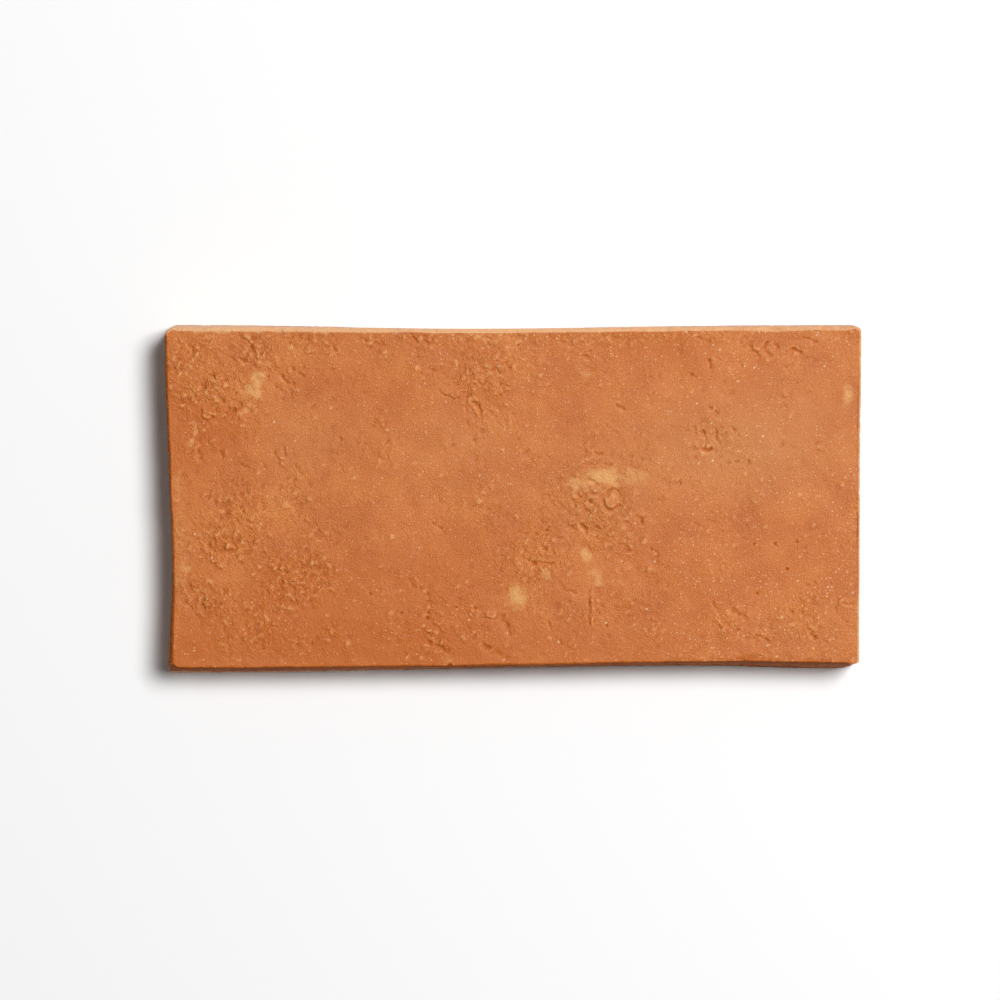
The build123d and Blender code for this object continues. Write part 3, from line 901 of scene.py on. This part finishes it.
def tornSkin():
    # wrinkles drawn out along one direction, parted by sharp creases, as a height in mm
    floats = ("Scale", "Depth", "Rough")
    tree, given, place, end = newGroup("tornSkin", "Height", floats, ("Turn", "Stretch"))
    wave = addNoise(tree, addDrawn(tree, place, given), given["Scale"], roughness=0.55)
    fold = addMath(tree, "ABSOLUTE", addMath(tree, "SUBTRACT", wave, 0.5))
    depth = addMath(tree, "MULTIPLY", given["Depth"], given["Rough"])
    tree.links.new(addMath(tree, "MULTIPLY", fold, depth), end)
    return tree


def liftedScales():
    # small scales of clay, a few of them lifted, as a height in mm
    floats = ("Scale", "Bend", "Lift", "Rough")
    tree, given, place, end = newGroup("liftedScales", "Height", floats, ("Turn", "Stretch"))
    drawn = addDrawn(tree, place, given)
    sway = addNoise(tree, drawn, given["Scale"], made="Color")
    swayed = {0: sway, 1: given["Bend"], 2: drawn}
    bent = addNode(tree, "ShaderNodeVectorMath", swayed, operation="MULTIPLY_ADD").outputs[0]
    values = {"Vector": bent, "Scale": given["Scale"], "Smoothness": claySkin["scaleSmoothness"]}
    cells = addNode(tree, "ShaderNodeTexVoronoi", values, feature="SMOOTH_F1")
    few = addMath(tree, "POWER", addChance(tree, cells)[0], claySkin["scaleFewness"])
    step = addMath(tree, "MULTIPLY", few, addMath(tree, "SUBTRACT", 1.0, cells.outputs["Distance"]))
    lift = addMath(tree, "MULTIPLY", given["Lift"], given["Rough"])
    tree.links.new(addMath(tree, "MULTIPLY", step, lift), end)
    return tree


def raggedMask():
    # a mask whose soft edge breaks up
    tree, given, place, end = newGroup("raggedMask", "Mask", ("Mask", "Scale", "Full"))
    worn = addNoise(tree, place, given["Scale"], detail=4.0, roughness=0.7)
    reach = addMath(tree, "MULTIPLY", given["Mask"], claySkin["raggedReach"])
    left = addRange(tree, addMath(tree, "SUBTRACT", reach, worn), 0.0, claySkin["raggedEdge"])
    tree.links.new(addMath(tree, "MULTIPLY", left, given["Full"]), end)
    return tree


def chalkSpecks():
    # single pale grains of grog, thinned out by a random share of cells
    tree, given, place, end = newGroup("chalkSpecks", "Mask", ("Scale", "Size", "Share"))
    cells = addNode(tree, "ShaderNodeTexVoronoi", {"Vector": place, "Scale": given["Scale"]})
    chance = addChance(tree, cells)
    chosen = addMath(tree, "LESS_THAN", chance[0], given["Share"])
    reach = addMath(tree, "MULTIPLY", given["Size"], chance[1])
    inside = addMath(tree, "LESS_THAN", cells.outputs["Distance"], reach)
    shown = addMath(tree, "MULTIPLY", chosen, inside)
    tree.links.new(addMath(tree, "MULTIPLY", shown, chance[2]), end)
    return tree


clayGroups = {
    "tone": clayTone(), "grain": sandGrain(), "torn": tornSkin(), "scales": liftedScales(),
    "ragged": raggedMask(), "specks": chalkSpecks(),
}

# Finishes of the clay: each value for the struck face, the moulded walls and the bedding below; the moulded
# walls are darker as painted shade
finishNames = ("struckClay", "mouldedShadeClay", "beddingClay")
clayLook = {
    "tone": {
        "Clay": ((0.597, 0.156, 0.016, 1), (0.37, 0.088, 0.009, 1), (0.46, 0.130, 0.028, 1)),
        "Pale": ((0.76, 0.274, 0.056, 1), (0.49, 0.155, 0.034, 1), (0.60, 0.235, 0.095, 1)),
        "Deep": ((0.43, 0.087, 0.005, 1), (0.25, 0.048, 0.003, 1), (0.32, 0.072, 0.012, 1)),
        "Cloud Scale": (80, 60, 35), "Cloud": (1.8, 2.0, 2.4),
        "Grain Scale": (2300, 1300, 1100), "Grain": (2.7, 2.0, 2.0),
    },
    "grain": {
        "Grain Scale": (2500, 1500, 1200), "Grain": (0.25, 0.30, 0.22),
        "Pore Scale": (900, 500, 420), "Pore": (0.05, 0.16, 0.14),
    },
    "torn": {"Scale": (950, 500, 400), "Depth": (0.95, 1.0, 0.45)},
    "scales": {"Scale": (700, 400, 350), "Bend": (0.0008, 0.001, 0.001), "Lift": (0.50, 0.45, 0.30)},
    "specks": {"Scale": (1150, 900, 900), "Size": (0.34, 0.26, 0.3)},
    "ragged": {"Scale": (420, 650, 420)},
    "skin": {
        "turn": (-55, 0, 12), "stretch": (1.25, 3.0, 6.0),
        "speckShare": ((0.24, 0.80), (0.12, 0.12), (0.15, 0.15)),
        # colour of the painted shade in hollows, a deeper clay; darkest on the moulded walls
        "hollow": ((0.41, 0.074, 0.004, 1), (0.11, 0.030, 0.008, 1), (0.28, 0.066, 0.010, 1)),
        "hollowShown": (0.62, 0.60, 0.62), "roughness": (0.42, 0.75, 0.85), "specular": (0.5, 0.12, 0.3),
    },
}
# Stains that all finishes share, some of them with painted light: the colour, and how much of it shows at
# most
clayStains = {
    "toneDeep": ((0.545, 0.120, 0.001, 1), 0.9),
    "tonePale": ((0.622, 0.208, 0.045, 1), 0.9),
    # paler crests: wear, and painted highlight on raised facets
    "worn": ((0.86, 0.390, 0.135, 1), 0.65),
    # paler far and right edges: rubbing, and painted highlight where they face the lamp
    "rubbed": ((0.85, 0.46, 0.215, 1), 0.88),
    # pale foot rim: dust, and painted light where the foot catches light
    "dust": ((0.80, 0.52, 0.35, 1), 0.75),
    "lime": ((0.755, 0.340, 0.096, 1), 1.0),
    "chalk": ((0.84, 0.50, 0.24, 1), 0.75),
    "grain": ((0.86, 0.56, 0.34, 1), 1.0),
}
hollowShadeFrom, wornSheenFrom = 0.1, -0.2        # where the painted shade in hollows and the worn crests with painted highlight begin to show


def clayMaterial(finish):
    looks = {}
    for kind, values in clayLook.items():
        looks[kind] = {label: each[finish] for label, each in values.items()}
    look = looks["skin"]
    material = bpy.data.materials.new(finishNames[finish])
    material.use_nodes = True
    tree = material.node_tree
    shader = tree.nodes["Principled BSDF"]

    def mask(attribute):
        return addNode(tree, "ShaderNodeAttribute", attribute_name=attribute).outputs["Fac"]

    def group(kind, more):
        values = {**looks[kind], **more}
        return addNode(tree, "ShaderNodeGroup", values, node_tree=clayGroups[kind]).outputs[0]

    def stained(colour, amount, stain):
        return addMix(tree, amount, colour, clayStains[stain][0])

    def toneMask(end, stain):
        return addRange(tree, mask("tone"), 0.0, end, 0.0, clayStains[stain][1])

    # grog shows more towards the right end
    place = tree.nodes.new("ShaderNodeTexCoord").outputs["Object"]
    along = addNode(tree, "ShaderNodeSeparateXYZ", {0: place}).outputs["X"]
    share = addRange(tree, along, tileLow.x, tileHigh.x, *look["speckShare"])
    specks = addMath(tree, "MULTIPLY", group("specks", {"Share": share}), clayStains["chalk"][1])

    colour = group("tone", {})
    colour = stained(colour, toneMask(-1.0, "toneDeep"), "toneDeep")
    colour = stained(colour, toneMask(1.0, "tonePale"), "tonePale")
    # painted shade in hollows, then paler crests: wear and painted highlight
    hollow = addRange(tree, mask("hollow"), hollowShadeFrom, 1.0, 0.0, look["hollowShown"])
    colour = addMix(tree, hollow, colour, look["hollow"])
    worn = addRange(tree, mask("hollow"), wornSheenFrom, -1.0, 0.0, clayStains["worn"][1])
    colour = stained(colour, worn, "worn")
    # rubbed edges with painted sheen, and dust with painted rim light, both with broken edges
    for stain in ("rubbed", "dust"):
        ragged = group("ragged", {"Mask": mask(stain), "Full": clayStains[stain][1]})
        colour = stained(colour, ragged, stain)
    colour = stained(colour, mask("lime"), "lime")
    colour = stained(colour, specks, "chalk")
    colour = stained(colour, mask("chalk"), "grain")
    tree.links.new(colour, shader.inputs["Base Color"])
    shader.inputs["Roughness"].default_value = look["roughness"]
    shader.inputs["Specular IOR Level"].default_value = look["specular"]

    turn = (0, 0, math.radians(look["turn"]))
    drawn = {"Turn": turn, "Stretch": (look["stretch"], 1, 1), "Rough": mask("rough")}
    height = addMath(tree, "ADD", group("grain", {}), group("torn", drawn))
    height = addMath(tree, "ADD", height, group("scales", drawn))
    bump = addNode(tree, "ShaderNodeBump", {"Strength": 1.0, "Distance": mm, "Height": height})
    tree.links.new(bump.outputs["Normal"], shader.inputs["Normal"])
    return material


tile = buildTile()
for finish in range(len(finishNames)):
    tile.data.materials.append(clayMaterial(finish))
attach(tile, "root")
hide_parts("terracotta_tile")
print("clay finishes on the tile:", ", ".join(finishNames))

# White studio floor and one soft box up to the right
studio = {
    "floorSide": 8.0, "floorColour": (0.98, 0.98, 0.98, 1), "floorDrop": 0.05 * mm,
    "skyColour": (1.0, 1.0, 1.0, 1), "skyLight": 0.095,
    "skyEdge": 0.8, "skyBand": (0.04, 0.16),    # brighter round the horizon, up to these heights
    "keyWay": (0.43, 0.27, 1.0),        # from the tile to the lamp
    "keyDistance": 2.3, "keySide": 0.92, "keyLevel": 0.965,
}


def buildStudio():
    look = studio
    half = look["floorSide"] / 2
    floorMesh = bpy.data.meshes.new("studioFloor")
    corners = [(-half, -half, 0), (half, -half, 0), (half, half, 0), (-half, half, 0)]
    floorMesh.from_pydata(corners, [], [(0, 1, 2, 3)])
    floor = bpy.data.objects.new("studioFloor", floorMesh)
    floor.location.z = tileLow.z - look["floorDrop"]
    bpy.context.scene.collection.objects.link(floor)
    paint = bpy.data.materials.new("floorPaint")
    paint.use_nodes = True
    shader = paint.node_tree.nodes["Principled BSDF"]
    shader.inputs["Base Color"].default_value = look["floorColour"]
    shader.inputs["Roughness"].default_value = 1.0
    shader.inputs["Specular IOR Level"].default_value = 0.0
    floorMesh.materials.append(paint)

    world = bpy.data.worlds.new("studioSky")
    bpy.context.scene.world = world
    world.use_nodes = True
    tree = world.node_tree
    sky = tree.nodes["Background"]
    sky.inputs["Color"].default_value = look["skyColour"]
    toSky = tree.nodes.new("ShaderNodeTexCoord").outputs["Generated"]
    rise = addNode(tree, "ShaderNodeSeparateXYZ", {0: toSky}).outputs["Z"]
    light = addRange(tree, rise, *look["skyBand"], look["skyEdge"], look["skyLight"])
    tree.links.new(light, sky.inputs["Strength"])

    way = Vector(look["keyWay"]).normalized()
    lampData = bpy.data.lights.new("softKey", "AREA")
    lampData.shape = "SQUARE"
    lampData.size = look["keySide"]
    # watts that give this share of plain white on the floor below the lamp
    lampData.energy = look["keyLevel"] * math.pi ** 2 * look["keyDistance"] ** 2 / way.z
    lamp = bpy.data.objects.new("softKey", lampData)
    lamp.location = way * look["keyDistance"]
    lamp.rotation_euler = way.to_track_quat("Z", "Y").to_euler()
    bpy.context.scene.collection.objects.link(lamp)


def buildCamera():
    look = photoView
    lensData = bpy.data.cameras.new("photoCamera")
    lensData.lens = look["lens"]
    lensData.sensor_width = look["sensor"]
    camera = bpy.data.objects.new("photoCamera", lensData)
    distance = look["pixel"] * look["imageSide"] * look["lens"] / look["sensor"]
    camera.location = (*look["aim"], tileHigh.z + distance)
    bpy.context.scene.collection.objects.link(camera)
    bpy.context.scene.camera = camera


buildStudio()
buildCamera()
bpy.context.scene.view_settings.view_transform = "Standard"
print("studio and camera ready")
